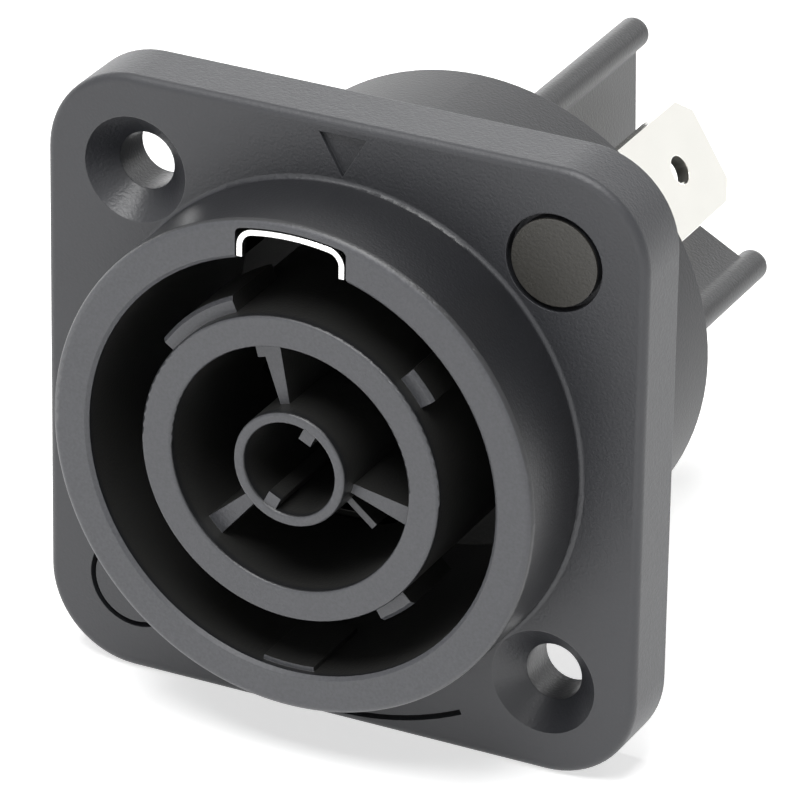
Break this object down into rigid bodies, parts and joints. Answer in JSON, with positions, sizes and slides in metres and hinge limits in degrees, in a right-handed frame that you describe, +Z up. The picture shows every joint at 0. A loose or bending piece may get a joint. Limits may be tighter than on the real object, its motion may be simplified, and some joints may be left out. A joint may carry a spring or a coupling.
{
  "type": "panel mount power connector",
  "caption": "Locking power socket with a square screw flange, a round collar and contact tower, a barrel that passes through the panel, and flat tab terminals parted by a barrier.",
  "frame": {"origin": "on the socket axis at the flange's back face, the face that meets the panel", "axes": "+Y along the socket axis from the mouth towards the terminals, +Z up towards the latch slot, +X to the right for someone who looks into the socket"},
  "size_m": [0.0344, 0.0422, 0.0344],
  "materials": {
    "housing_plastic": "fine matte moulded glass-filled polyamide, dark grey",
    "carrier_plastic": "satin moulded glass-filled polyamide, dark grey",
    "plated_contact": "tin-plated brass strip, pale and satin",
    "liner_steel": "bright rolled stainless strip"
  },
  "bodies": {
    "root": {"housing": "housing_plastic", "contact_carrier": "carrier_plastic", "line_contact": "plated_contact", "neutral_contact": "plated_contact", "earth_contact": "plated_contact", "latch_liner": "liner_steel"}
  },
  "joints": []
}
